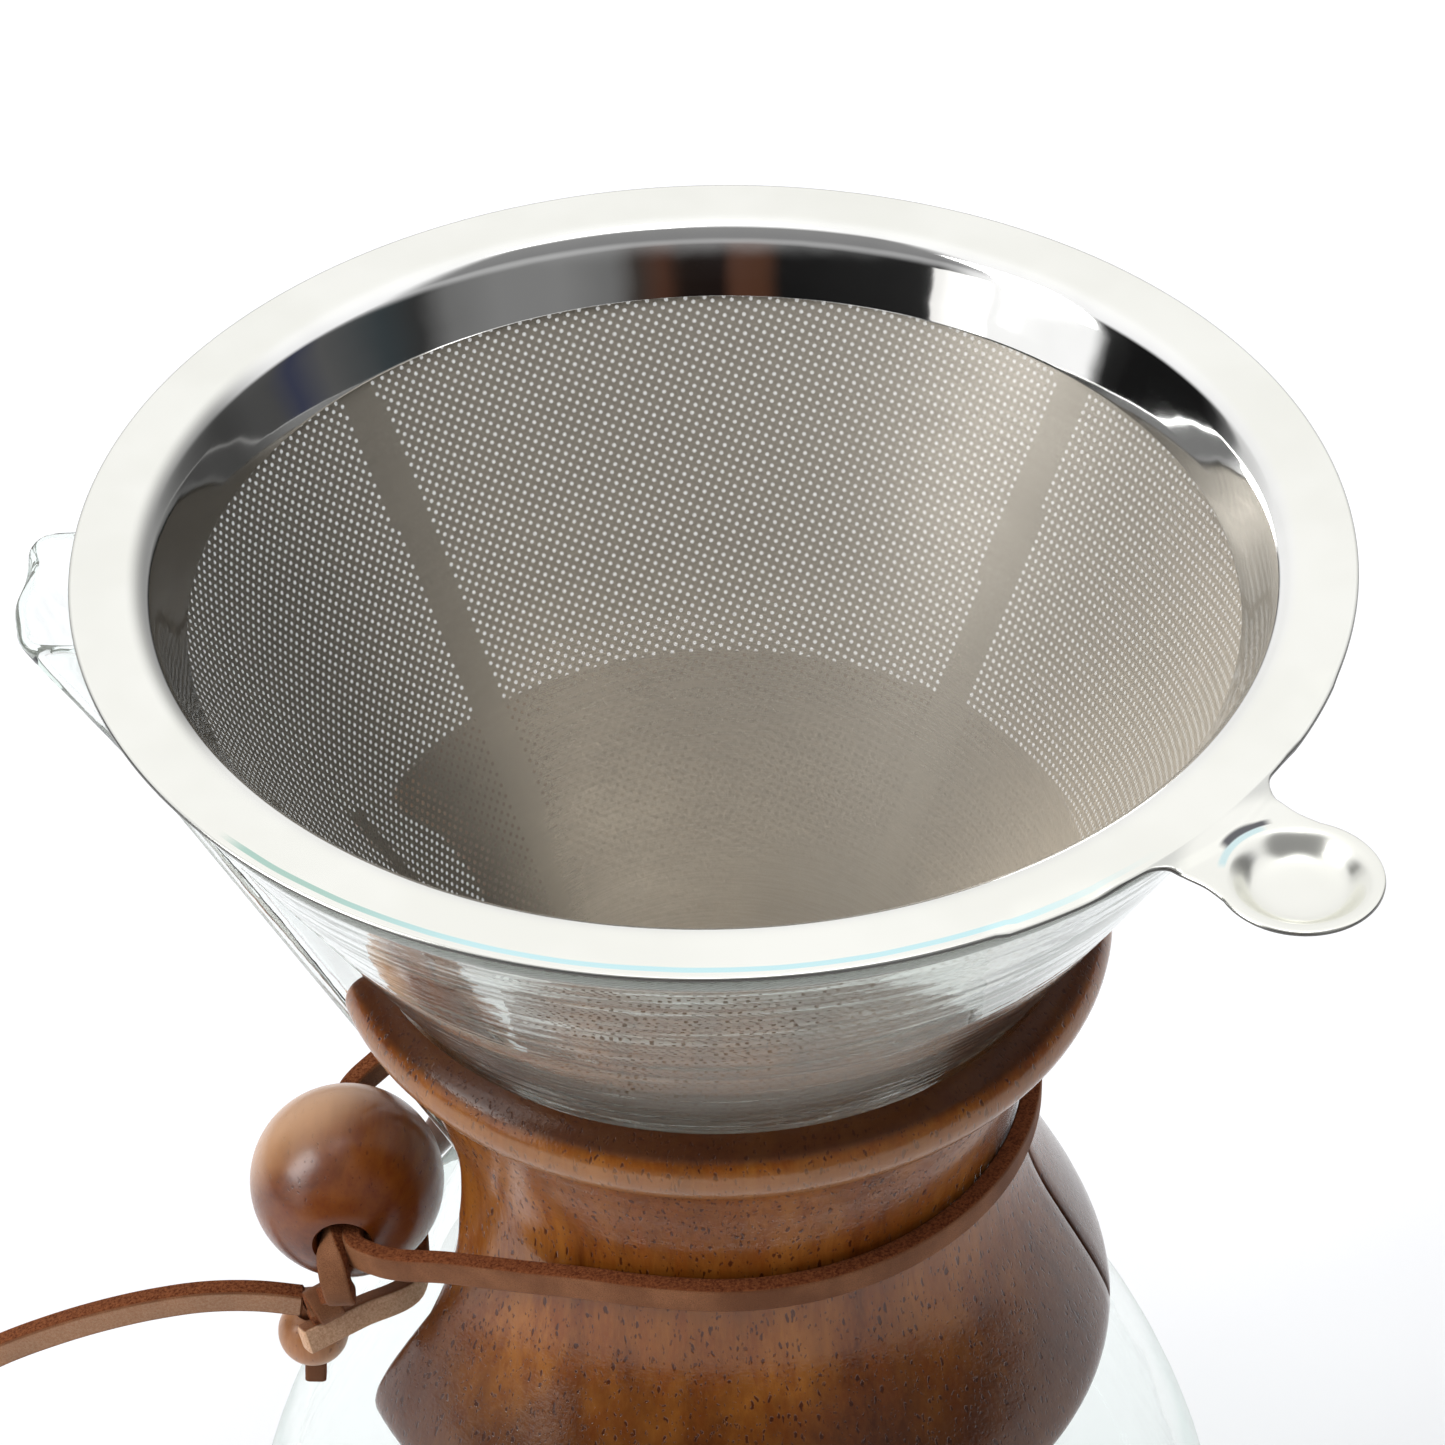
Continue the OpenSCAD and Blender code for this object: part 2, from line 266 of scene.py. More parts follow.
def wood_material(name, dark, mid, light, grain_axis=(0, 0, 0), pore=1.0, seed=0.0, coat_rough=0.07, fleck=1.0,
                  shaded_top_dark_foot=0.0, ragged=0.00012, gloss=0.75, painted_sheen=0.0):
    """Lacquered open-pored wood. The grain runs along the object's Z, turned by grain_axis.

    fleck is the strength of the pores, ragged the height of the ridges in the lacquer, gloss the lacquer's weight.
    shaded_top_dark_foot darkens the collar's upward end-grain faces, partly as their own darker end grain and partly as
    painted shade under the flange, makes the foot darker and paints a highlight on the lip's face; painted_sheen is a
    painted highlight, a paler patch on the bead's upper back-left side."""
    m = Tree(name)
    p = m.coords(rotation=grain_axis, location=(seed * 31, seed * 17, seed * 5))
    along = m.node("Mapping", {"Vector": p, "Scale": (1, 1, 0.16)}).outputs[0]
    figure = m.noise(along, 0.07, 4.0, 0.6, 0.6)
    streak = m.noise(m.node("Mapping", {"Vector": p, "Scale": (1, 1, 0.06)}).outputs[0], 0.5, 5.0, 0.65, 0.3)
    fibre = m.noise(m.node("Mapping", {"Vector": p, "Scale": (1, 1, 0.09)}).outputs[0], 2.2, 3.0, 0.6)
    body = m.mix(m.remap(figure, 0.33, 0.68), dark, light)
    body = m.mix(m.remap(streak, 0.35, 0.7), body, mid)
    body = m.mix(m.math("MULTIPLY", m.remap(fibre, 0.35, 0.75), 0.28), body, light)
    cells = m.node("Mapping", {"Vector": p, "Scale": (1, 1, 0.34)}).outputs[0]
    sway = m.node("TexNoise", {"Vector": cells, "Scale": 1.2, "Detail": 2.0}).outputs["Color"]
    wob = m.node("VectorMath", {0: cells, 1: sway}, operation="ADD").outputs[0]

    def pits(scale, least, size):
        """Open pores: scale cells to a millimetre, a share of them, least, without one, and size in cells."""
        vor = m.node("TexVoronoi", {"Vector": wob, "Scale": scale, "Randomness": 1.0}, feature="F1")
        pick = m.node("SeparateColor", {0: vor.outputs["Color"]}).outputs[0]
        r = m.math("MULTIPLY", m.remap(pick, least, 1.0), size * pore)
        return m.remap(m.math("SUBTRACT", vor.outputs["Distance"], r), -0.03, 0.09, 1.0, 0.0)

    holes = m.math("MAXIMUM", pits(1.5, 0.05, 0.29), m.math("MULTIPLY", pits(2.7, 0.25, 0.3), 0.7))
    depth = m.mix(1.0, body, (0.24, 0.14, 0.1, 1), "MULTIPLY")
    colour = m.mix(m.math("MULTIPLY", holes, 0.92 * fleck), body, depth)
    shine = gloss
    if shaded_top_dark_foot:
        up = m.normal_z()
        z = m.node("SeparateXYZ", {0: m.coords()}).outputs[2]
        shine = m.remap(up, 0.5, 0.75, gloss, 0.12)
        # the foot darkens towards the bottom; upward end-grain faces go almost black, partly their own darker end grain
        # and partly painted shade under the flange
        foot = m.remap(m.math("MULTIPLY_ADD", figure, 14.0, z), 131, 112, 0.0, 0.72)
        deep = m.math("MAXIMUM", m.remap(up, 0.45, 0.68, 0.0, 0.85), foot)
        # painted highlight: a paler band on the lip's outer face
        pale = m.math("MULTIPLY", m.remap(z, 148, 152, 0.0, 0.4), m.remap(up, 0.2, 0.5, 1.0, 0.0))
        colour = m.mix(pale, colour, rgb(168, 122, 80))
        colour = m.mix(m.math("MULTIPLY", deep, shaded_top_dark_foot), colour, (0.03, 0.007, 0.001, 1))
    if painted_sheen:
        # painted highlight: the bead is paler where it faces up, back and left
        n = m.node("TexCoord").outputs["Normal"]
        facing = m.node("VectorMath", {0: n, 1: (-0.6, 0.5, 0.62)}, operation="DOT_PRODUCT").outputs["Value"]
        patch = m.remap(m.math("MULTIPLY_ADD", figure, 0.3, facing), 0.5, 1.05)
        colour = m.mix(m.math("MULTIPLY", patch, painted_sheen), colour, rgb(196, 150, 110))
    peel = m.noise(m.node("Mapping", {"Vector": p, "Scale": (0.7, 0.7, 1.8)}).outputs[0], 1.3, 3.0, 0.6)
    ridge = m.noise(m.node("Mapping", {"Vector": p, "Scale": (1, 1, 0.22)}).outputs[0], 1.7, 4.0, 0.7)
    height = m.math("MULTIPLY_ADD", peel, 0.3, m.math("MULTIPLY", ridge, 0.5 * fleck))
    height = m.math("SUBTRACT", height, m.math("MULTIPLY", holes, 0.5))
    normal = m.bump(height, 0.00015, 0.5)
    coat = m.bump(height, ragged, 0.55)
    rough = m.remap(peel, 0.3, 0.7, 0.42, 0.56)
    b = m.node("BsdfPrincipled", {
        "Base Color": colour, "Roughness": rough, "Normal": normal, "Specular IOR Level": 0.08,
        "Coat Weight": shine, "Coat Roughness": coat_rough, "Coat Normal": coat, "Coat IOR": 1.54,
    })
    return m.finish(b.outputs[0])


def leather_material():
    """Leather lace. The "edge" attribute is 1 on the raw suede edges, 0 on the smooth face and -1 on the pale back."""
    m = Tree("leather_lace")
    p = m.coords()
    edge = m.node("Attribute", attribute_name="edge").outputs["Fac"]
    big = m.noise(p, 0.12, 3.0, 0.6)
    fuzz = m.noise(p, 3.2, 5.0, 0.75)
    grit = m.noise(m.node("Mapping", {"Vector": p, "Scale": (1, 1, 1.6)}).outputs[0], 8.0, 2.0, 0.6)
    face = m.mix(m.remap(big, 0.3, 0.7), rgb(112, 70, 44), rgb(146, 98, 66))
    face = m.mix(m.math("MULTIPLY", m.remap(grit, 0.42, 0.66), 0.6), face, rgb(84, 50, 32))
    flesh = m.mix(m.remap(fuzz, 0.3, 0.7), rgb(188, 142, 109), rgb(226, 190, 158))
    face = m.mix(m.remap(edge, -0.2, -0.8), face, flesh)
    suede = m.mix(m.remap(fuzz, 0.32, 0.66), rgb(78, 34, 14), rgb(142, 84, 50))
    raw = m.remap(m.math("ADD", edge, m.math("MULTIPLY", m.math("SUBTRACT", fuzz, 0.5), 0.7)), 0.35, 0.75)
    colour = m.mix(raw, face, suede)
    nap = m.math("MULTIPLY", fuzz, m.math("MULTIPLY_ADD", raw, 0.8, 0.2))
    height = m.math("ADD", nap, m.math("MULTIPLY", grit, 0.35))
    b = m.node("BsdfPrincipled", {
        "Base Color": colour, "Roughness": m.remap(raw, 0, 1, 0.62, 0.92), "Normal": m.bump(height, 0.00035, 0.6),
        "Specular IOR Level": 0.15,
    })
    return m.finish(b.outputs[0])


def stamped_steel():
    """Satin flange with a painted cyan reflection at its front, and a mirror wall with painted shade at the spout's
    side.
    """
    m = Tree("stamped_steel")
    r, az, _ = m.polar()
    p = m.coords()
    blotch = m.noise(p, 0.05, 3.0, 0.6)
    fine = m.noise(p, 1.4, 4.0, 0.6)
    lapped = m.remap(r, 57.2, 59.4, 0.0, 1.0)
    rough = m.math("MULTIPLY_ADD", lapped, 0.17, 0.055)
    rough = m.math("ADD", rough, m.math("MULTIPLY", m.math("SUBTRACT", blotch, 0.5), 0.05))
    polished = m.mix(m.remap(blotch, 0.35, 0.65), (0.80, 0.80, 0.79, 1), (0.86, 0.86, 0.85, 1))
    # painted shade: the mirror wall is darker towards the spout's side
    polished = m.mix(m.remap(m.math("ABSOLUTE", az), 142, 156, 0.0, 0.87), polished, (0.16, 0.16, 0.155, 1))
    satin = m.mix(m.remap(blotch, 0.35, 0.65), (0.83, 0.83, 0.775, 1), (0.87, 0.87, 0.82, 1))
    colour = m.mix(lapped, polished, satin)
    # painted reflection: a thin cyan band near the front of the flange's outer edge
    wander = m.math("MULTIPLY_ADD", m.noise(p, 0.06, 2.0), 0.5, r)
    cyan_reflection = m.math("MULTIPLY", m.remap(wander, 63.65, 63.78), m.remap(wander, 64.3, 64.45, 1.0, 0.0))
    cyan_reflection = m.math("MULTIPLY", cyan_reflection, m.math("MULTIPLY", m.remap(az, -138, -134), m.remap(az, -70, -48, 1.0, 0.0)))
    cyan = m.mix(m.remap(az, -128, -108), (0.42, 0.60, 0.53, 1), (0.56, 0.80, 0.83, 1))
    colour = m.mix(cyan_reflection, colour, cyan)
    # the crease behind the thumb tab, marked with a painted cyan reflection and painted shade, and the rolled outer
    # edge and side, darkened with painted shade
    xyz = m.node("SeparateXYZ", {0: p}).outputs
    tx = m.math("SUBTRACT", xyz[0], TAB_AT * math.cos(TAB_AZ))
    ty = m.math("SUBTRACT", xyz[1], TAB_AT * math.sin(TAB_AZ))
    far = m.length(tx, ty)
    turn = m.math("MULTIPLY", m.math("ARCTAN2", ty, tx), math.degrees(1))

    def arc(near, out, start, end):
        """A mark round the tab's dish, from radius near to out and from angle start to end."""
        ring = m.math("MULTIPLY", m.remap(far, near - 0.12, near + 0.12), m.remap(far, out - 0.2, out + 0.2, 1.0, 0.0))
        span = m.math("MULTIPLY", m.remap(turn, start, start + 9), m.remap(turn, end - 9, end, 1.0, 0.0))
        return m.math("MULTIPLY", ring, span)

    # painted reflection in the crease, cyan, and painted shade beside it, nearly black
    colour = m.mix(m.math("MULTIPLY", arc(7.0, 7.7, 108, 172), 0.7), colour, (0.50, 0.72, 0.76, 1))
    colour = m.mix(m.math("MULTIPLY", arc(7.65, 8.35, 102, 152), 0.9), colour, (0.045, 0.045, 0.06, 1))
    # painted shade: the rolled outer edge is darker away from the tab, and the side is nearly black
    lip = m.math("MULTIPLY", m.remap(r, 64.62, 64.9), m.remap(far, 10.0, 12.5, 0.0, 0.4))
    colour = m.mix(lip, colour, (0.3, 0.31, 0.31, 1))
    side = m.math("MULTIPLY", m.remap(m.normal_z(), 0.1, 0.5, 0.9, 0.0), m.remap(r, 61.5, 62.5))
    colour = m.mix(side, colour, (0.05, 0.045, 0.04, 1))
    normal = m.bump(m.math("ADD", m.math("MULTIPLY", blotch, 3.0), m.math("MULTIPLY", fine, 0.03)), 0.00004, 0.5)
    b = m.node("BsdfPrincipled", {"Base Color": colour, "Metallic": 1.0, "Roughness": rough, "Normal": normal})
    return m.finish(b.outputs[0])


def streaked_steel(name, dark, light, rough_lo, rough_hi, pass_share=0.0, grain=0.25, metal=1.0, waves=0.0, shade=None):
    """Rolled steel sheet or woven mesh with fine streaks round the cone. pass_share of the light goes straight through.

    waves is the height of the rolled hoops on the outer side. shade is how much painted shade darkens the cone at its
    left, and how much painted light lifts it at its right and low down."""
    m = Tree(name)
    r, az, z = m.polar()
    long = m.node("CombineXYZ", {0: r, 1: m.math("MULTIPLY", az, 0.02), 2: z}).outputs[0]
    streak = m.noise(long, 4.5, 3.0, 0.6)
    zone = m.node("CombineXYZ", {0: 0.0, 1: m.math("MULTIPLY", az, 0.03), 2: m.math("MULTIPLY", z, 0.12)}).outputs[0]
    wide = m.noise(zone, 1.0, 3.0, 0.6)
    weave = m.noise(m.coords(), 6.5, 1.0, 0.5)
    fine = m.math("MULTIPLY", m.remap(weave, 0.3, 0.7), grain)
    f = m.math("ADD", m.math("MULTIPLY", m.remap(streak, 0.3, 0.7), 1 - grain), fine)
    f = m.math("ADD", m.math("MULTIPLY", f, 0.7), m.math("MULTIPLY", m.remap(wide, 0.35, 0.65), 0.3))
    colour = m.mix(f, dark, light)
    normal = m.bump(m.math("ADD", streak, m.math("MULTIPLY", weave, grain)), 0.000006, 0.5)
    rough = m.remap(f, 0, 1, rough_hi, rough_lo)
    if waves:  # the sheet's outer side is bright rolled, its inner side is satin; its paler outer colour is partly that finish and partly painted light
        outer = m.remap(m.normal_z(), -0.1, 0.1, 1.0, 0.0)
        hoop = m.node("CombineXYZ", {0: 0.0, 1: m.math("MULTIPLY", az, 0.01), 2: z}).outputs[0]
        normal = m.bump(m.math("MULTIPLY", m.noise(hoop, 0.3, 2.0, 0.5), outer), waves, 1.0, normal)
        rough = m.math("MULTIPLY", rough, m.math("MULTIPLY_ADD", outer, -0.6, 1.0))
        colour = m.mix(m.math("MULTIPLY", outer, 0.7), colour, (0.92, 0.915, 0.9, 1))
        metal = m.math("MULTIPLY_ADD", outer, -0.2, metal)
    if shade:  # painted shade at the left side, painted light at the right and low down
        left = m.remap(m.math("ABSOLUTE", az), 118, 168)
        colour = m.mix(m.math("MULTIPLY", left, shade[0]), colour, (0.05, 0.052, 0.05, 1))
        right = m.remap(m.math("ABSOLUTE", m.math("ADD", az, 30)), 10, 72, 1.0, 0.0)
        right = m.math("MULTIPLY", right, m.remap(z, 130, 185, 1.0, 0.45))
        low = m.math("MULTIPLY", m.remap(z, 140, 178, 1.0, 0.0), m.math("SUBTRACT", 1.0, left))
        lift = m.math("MULTIPLY_ADD", right, shade[1], m.math("MULTIPLY_ADD", low, shade[2], 1.0))
        warm = {0: lift, 1: m.math("MULTIPLY", lift, 0.985), 2: m.math("MULTIPLY", lift, 0.945)}
        tone = m.node("CombineColor", warm).outputs[0]
        colour = m.mix(1.0, colour, tone, "MULTIPLY")
    b = m.node("BsdfPrincipled", {"Base Color": colour, "Metallic": metal, "Roughness": rough, "Normal": normal})
    b = b.outputs[0]
    if pass_share:
        share = m.math("ADD", pass_share, m.math("MULTIPLY", m.math("SUBTRACT", weave, 0.5), 0.1))
        b = m.node("MixShader", {0: share, 1: b, 2: m.node("BsdfTransparent").outputs[0]}).outputs[0]
    return m.finish(b)


# the thumb tab: its radius, how far its middle is from the axis, and its azimuth
TAB_R, TAB_AT, TAB_AZ = 8.0, 75.1, math.radians(-44)

GLASS = glass_material()
WOOD = wood_material("collar_wood_lacquered", rgb(84, 35, 3), rgb(121, 61, 12), rgb(155, 95, 34),
                     coat_rough=0.05, shaded_top_dark_foot=1.0)
BEAD = wood_material("bead_wood_lacquered", rgb(74, 26, 2), rgb(104, 46, 7), rgb(128, 68, 16),
                     (math.radians(90), 0, 0), pore=0.6, seed=3.0, coat_rough=0.27, fleck=0.6,
                     ragged=0.00004, gloss=0.9, painted_sheen=0.85)
SMALL = wood_material("small_bead_wood", rgb(136, 78, 38), rgb(166, 108, 62), rgb(194, 140, 94),
                      pore=0.5, seed=6.0, coat_rough=0.3, fleck=0.6, ragged=0.00005)
LEATHER = leather_material()
STAMPED = stamped_steel()
# both cones carry painted shade at their left and painted light at their right and low down
PERFORATED = streaked_steel("perforated_steel", (0.42, 0.40, 0.37, 1), (0.50, 0.48, 0.445, 1), 0.34, 0.46,
                            grain=0.1, metal=0.8, waves=0.0004, shade=(0.2, 0.85, 0.3))
MESH = streaked_steel("woven_steel_mesh", (0.45, 0.42, 0.38, 1), (0.55, 0.515, 0.465, 1), 0.42, 0.55,
                      pass_share=0.62, grain=0.2, metal=0.5, shade=(0.72, 1.4, 0.5))
CUP = streaked_steel("pressed_steel_cup", (0.5, 0.49, 0.475, 1), (0.66, 0.65, 0.63, 1), 0.2, 0.35, grain=0.15)

# ---------------- the lace's free tail
TAIL = [
    (-47.5, -14.5, 111.4), (-52, -14.3, 112), (-58, -14, 111.8), (-64, -13.8, 110.6), (-70, -13.6, 108.7),
    (-76, -13.4, 106.2), (-82, -13.2, 103.1), (-87.5, -13, 99.3), (-92.3, -12.8, 94.8), (-96.2, -12.6, 89.4),
    (-99, -12.4, 83.4), (-100.8, -12.2, 77),
]
LACE_W, LACE_T = 3.2, 2.2
SECTION, EDGE = rounded_section(LACE_W, LACE_T)


def tail_piece():
    path = curve(TAIL, 0.8)
    width = np.cross(np.gradient(path, axis=0), (0.0, 1.0, 0.0))
    v, f, edge = strip(path, width, SECTION, EDGE)
    pale = edge - 0.45 * (edge < 0.5)
    tail = piece("lace_tail", v, f, LEATHER, "carafe_set", ("thong_tail",), attribute=pale, merge=0)


tail_piece()


# ---------------- stage
def floor_material():
    """A pale floor that glows a little more towards the back, and is dark far away in reflections."""
    m = Tree("studio_floor")
    grain = m.noise(m.coords(), 0.02, 2.0)
    colour = m.mix(grain, (0.825, 0.83, 0.85, 1), (0.855, 0.86, 0.875, 1))
    d = m.node("BsdfDiffuse", {"Color": colour}).outputs[0]
    x, y, _ = m.node("SeparateXYZ", {0: m.coords()}).outputs
    e = m.node("Emission", {"Color": (0.97, 0.98, 1, 1), "Strength": m.remap(y, -200, 350, 0.05, 0.3)}).outputs[0]
    lit = m.node("AddShader", {0: d, 1: e}).outputs[0]
    dim = m.math("MULTIPLY", m.remap(m.length(x, y), 500, 1200), m.node("LightPath").outputs["Is Glossy Ray"])
    dark = m.node("BsdfDiffuse", {"Color": (0.05, 0.05, 0.055, 1)}).outputs[0]
    return m.finish(m.node("MixShader", {0: dim, 1: lit, 2: dark}).outputs[0])


def studio_floor(radius=4, n=64):
    mesh = bpy.data.meshes.new("studio_floor")
    turns = np.linspace(0, 2 * np.pi, n, endpoint=False)
    mesh.from_pydata([(math.cos(a) * radius, math.sin(a) * radius, 0) for a in turns], [], [list(range(n))])
    mesh.materials.append(floor_material())
    floor = bpy.data.objects.new("studio_floor", mesh)
    bpy.context.scene.collection.objects.link(floor)


studio_floor()


def area(name, at, to, size, power, colour=(1, 1, 1), size_y=None):
    """An area light at a place, aimed at another, size wide and size_y high, in metres and watts."""
    d = bpy.data.lights.new(name, "AREA")
    d.energy, d.color = power, colour
    d.shape, d.size = ("RECTANGLE", size) if size_y else ("SQUARE", size)
    if size_y:
        d.size_y = size_y
    o = bpy.data.objects.new(name, d)
    bpy.context.scene.collection.objects.link(o)
    o.location = at
    o.rotation_euler = (Vector(to) - Vector(at)).to_track_quat("-Z", "Y").to_euler()


def studio_world():
    """White overhead and behind, darker low in front, with a few bright and dark panels that the mirror wall shows."""
    w = bpy.data.worlds.new("studio")
    w.use_nodes = True
    t = w.node_tree
    t.nodes.clear()
    m = Tree.__new__(Tree)
    m.t = t
    xyz = m.node("SeparateXYZ", {0: m.node("TexCoord").outputs["Generated"]}).outputs
    az = m.math("MULTIPLY_ADD", m.math("ARCTAN2", xyz[1], xyz[0]), 1 / (2 * math.pi), 0.5)
    ramp = m.node("ValToRGB", {0: az})
    # azimuth in degrees and brightness, or colour, of the low panels round the object
    stops = [(-180, .012), (-175, .012), (-172, 1.1), (-150, 1.12), (-145, .95), (-142, .4), (-138, .02), (-105, .01),
             (-102, (.08, .035, .02)), (-96, (.09, .04, .025)), (-93, (.012, .008, .007)), (-85, (.015, .01, .008)),
             (-81, (.08, .035, .022)), (-76, (.05, .04, .035)), (-71, .17), (-60, .24), (-47, .24), (-36, .17),
             (-30, .035), (-22, (.04, .05, .055)), (-8, .1), (0, (.045, .05, .085)), (6, .09), (22, .2), (33, .4),
             (48, 1.0), (130, 1.0), (146, .7), (150, .2), (156, .03), (160, .01), (174, .008)]
    el = ramp.color_ramp.elements
    while len(el) > 1:
        el.remove(el[-1])
    for k, (deg, c) in enumerate(stops):
        e = el[0] if k == 0 else el.new((deg + 180) / 360)
        e.position = (deg + 180) / 360
        c = (c, c, c) if isinstance(c, float) else c
        e.color = (*c, 1)
    high = m.remap(xyz[2], math.sin(math.radians(22)), math.sin(math.radians(34)))
    white = m.mix(m.remap(xyz[2], 0.5, 1.0), (1.05, 1.05, 1.06, 1), (1.2, 1.2, 1.2, 1))
    path = m.node("LightPath").outputs
    colour = m.mix(m.math("MAXIMUM", high, path["Is Transmission Ray"]), ramp.outputs[0], white)
    # the room behind the camera is dim in reflections
    front = m.math("MULTIPLY", m.remap(az, 0.05, 0.11), m.remap(az, 0.40, 0.46, 1.0, 0.0))
    level = m.math("MULTIPLY", m.remap(xyz[2], 0.42, 0.55), m.remap(xyz[2], 0.88, 0.96, 1.0, 0.0))
    front = m.math("MULTIPLY", m.math("MULTIPLY", front, level), path["Is Glossy Ray"])
    colour = m.mix(m.math("MULTIPLY", front, 0.75), colour, (0.0, 0.0, 0.0, 1))
    fill = m.math("MULTIPLY_ADD", path["Is Diffuse Ray"], -0.3, 1.0)
    bg = m.node("Background", {"Color": colour, "Strength": fill})
    out = t.nodes.new("ShaderNodeOutputWorld")
    t.links.new(bg.outputs[0], out.inputs["Surface"])
    bpy.context.scene.world = w


studio_world()
area("softbox_left", (-1.0, -0.3, 0.9), (0, 0, 0.17), 0.45, 9, (1, 1, 1), 0.8)
area("softbox_top", (0.1, -0.1, 1.4), (0, 0, 0.15), 0.5, 1.5)
area("window_left", (-0.75, -0.55, 0.35), (0, 0, 0.15), 0.2, 0.35, (1, 0.99, 0.97), 0.5)
bpy.context.scene.view_settings.view_transform = "Standard"

# ---------------- glass carafe
# the pouring channel's reach and half width, at the spout and at its lower end
SPOUT_Z, SPOUT_X, SPOUT_W = 200.6, 69.0, 9.2
LOW_Z, LOW_X, LOW_W = 124.0, 30.6, 6.6
NECK, CONE_TOP, CONE_IN = (29.5, 144.5), (64.1, 203.3), (61.2, 203.3)
WALL = 2.4
GLASS_OUT = [
    (0, 0), (46, 0), (50, 1), (54, 5), (57, 11), (59, 19), (60, 30), (59.6, 44), (57.4, 58), (53.4, 71), (48, 83),
    (42, 94), (36.5, 103), (32, 110), (29, 116.5), (27.4, 123), (27.5, 130), (28.1, 137), (29.5, 144.5),
]
GLASS_IN = [
    (26.6, 144.5), (25.3, 137), (24.8, 130), (24.7, 123), (26.3, 116.6), (29.6, 109.7), (34.2, 102), (39.8, 92.6),
    (45.8, 81.7), (51, 70), (54.8, 57.3), (57, 43.8), (57.4, 30), (56.5, 19.6), (54.6, 12.4), (51.8, 7.4),
    (48.3, 4.2), (45, 3.4), (0, 3.4),
]
RIM = [(63.95, 203.75), (63.5, 204.08), (62.7, 204.24), (61.9, 204.1), (61.35, 203.75)]


def channel_reach(z, a, t):
    """How far the pouring channel, a bar with rounded corners, reaches at height z, a radians from -X and t inside."""
    k = np.clip((z - LOW_Z) / (SPOUT_Z - LOW_Z), 0, 1.04)
    low = np.clip((LOW_Z - z) / 15, 0, 1)
    x = LOW_X + (SPOUT_X - LOW_X) * k - 3.7 * low - t
    w = LOW_W + (SPOUT_W - LOW_W) * k - 2.1 * low - t
    r = 5 - 2 * k - 0.6 * low - t
    s, q = np.maximum(np.abs(np.sin(a)), 1e-3), np.maximum(np.cos(a), 1e-3)
    cx, cy = x - r, w - r
    dot = cx * q + cy * s
    corner = dot + np.sqrt(np.clip(r**2 - (cx**2 + cy**2 - dot**2), 0, None))
    reach = np.where(x * s <= cy * q, x / q, np.where(w * q <= cx * s, w / s, corner))
    return np.where(np.cos(a) > 0, reach, 0)


def smooth_max(a, b, k):
    """The larger of a and b, blended over k where they are close."""
    h = np.clip(0.5 + 0.5 * (a - b) / k, 0, 1)
    return b * (1 - h) + a * h + k * h * (1 - h)


def glass_piece():
    """The blown glass: rows of the turned wall, outside, over the rim and down inside, pushed out along the channel."""
    # angles from -X, closer together at the channel's sides
    side_turn = np.r_[4:17:0.4, 18:34.1:1.6]
    a = np.radians(np.r_[-side_turn[::-1], np.arange(-3.2, 3.3, 0.8), side_turn, np.linspace(38, 322, 72)])
    a = (a + np.pi) % (2 * np.pi) - np.pi
    cone_out = np.linspace(NECK, CONE_TOP, 34)
    cone_in = np.linspace(CONE_IN, GLASS_IN[0], 34)
    out = curve(GLASS_OUT, 4, (1,))
    inn = curve(GLASS_IN, 4, (17,))
    rim = np.array(RIM)
    rows = np.vstack([out, cone_out[1:], rim, cone_in, inn[1:]])
    # how far inside the outer wall each row is
    over_rim = WALL * np.clip((CONE_TOP[0] - rim[:, 0]) / (CONE_TOP[0] - CONE_IN[0]), 0, 1)
    t = np.r_[np.zeros(len(out) + len(cone_out) - 1), over_rim, np.full(len(cone_in) + len(inn) - 1, WALL)]
    R, Z = rows[:, :1], rows[:, 1:2]
    A = a[None, :]
    at_spout = 1 - smooth01((np.abs(A) - math.radians(7.5)) / math.radians(7.5))
    drop = 3.65 * at_spout * smooth01((Z - 176) / 28)
    z = Z - drop
    reach = channel_reach(Z * np.ones_like(A), A, t[:, None] * (1 - 0.45 * smooth01((Z - 160) / 35)))
    body = R * np.ones_like(A)
    rho = np.where(R < 20, body, smooth_max(body, reach, 1.6))
    # the spout's ground edge is uneven, above a slight waist
    lip = smooth01((Z - 192) / 12) ** 2
    wavy = 0.22 * np.sin(A * 26 + 0.8) + 0.15 * np.sin(A * 47)
    waist = smooth01((Z - 178) / 16) * (1 - lip)
    rho = rho + at_spout * (lip * wavy - 0.3 * waist)
    z = z + at_spout * lip * 0.3 * np.sin(A * 31 + 0.4)
    rho = rho * (1 + 0.0008 * np.sin(3 * A + Z * 0.05))
    y = -rho * np.sin(A)
    y = np.where(y > 0, y * (1 + 0.085 * at_spout * smooth01((Z - 170) / 25)), y)  # the far side is wider
    v = np.stack([-rho * np.cos(A), y, z], -1).reshape(-1, 3)
    piece("glass_carafe", v, grid_faces(len(rows), len(a)), GLASS, "carafe_set", ("carafe",), sharp=50)


glass_piece()

# ---------------- wooden collar
COLLAR = [
    (39.5, 159.1), (40.6, 158.2), (41.5, 157), (42, 155.5), (41.9, 154.1), (41.1, 152.5),
    (39.1, 151.0), (37.7, 149.3), (36.1, 145.5), (34.6, 141), (33.3, 136.5), (32.65, 132.8), (32.65, 129),
    (33.0, 125), (33.8, 121), (35.4, 116.6), (37.6, 112), (40.2, 106.8), (42.4, 102), (43.5, 98.6),
    (43.6, 96.8), (42.9, 95.5), (41.9, 95.1), (41.6, 95.2), (36.8, 103.1), (32.3, 110.1), (29.3, 116.6),
    (27.75, 123), (27.85, 130), (28.4, 136.95), (29.9, 144.4), (38.7, 159.4), (39.5, 159.1),
]
COLLAR_CORNERS = (6, 23, 31)
SEAM_GAP, SEAM_ROUND = 0.4, 0.35
MOUTH_GAP, MOUTH_ROUND = 16.5, 1.5
COLLAR_TURN = math.radians(-5)


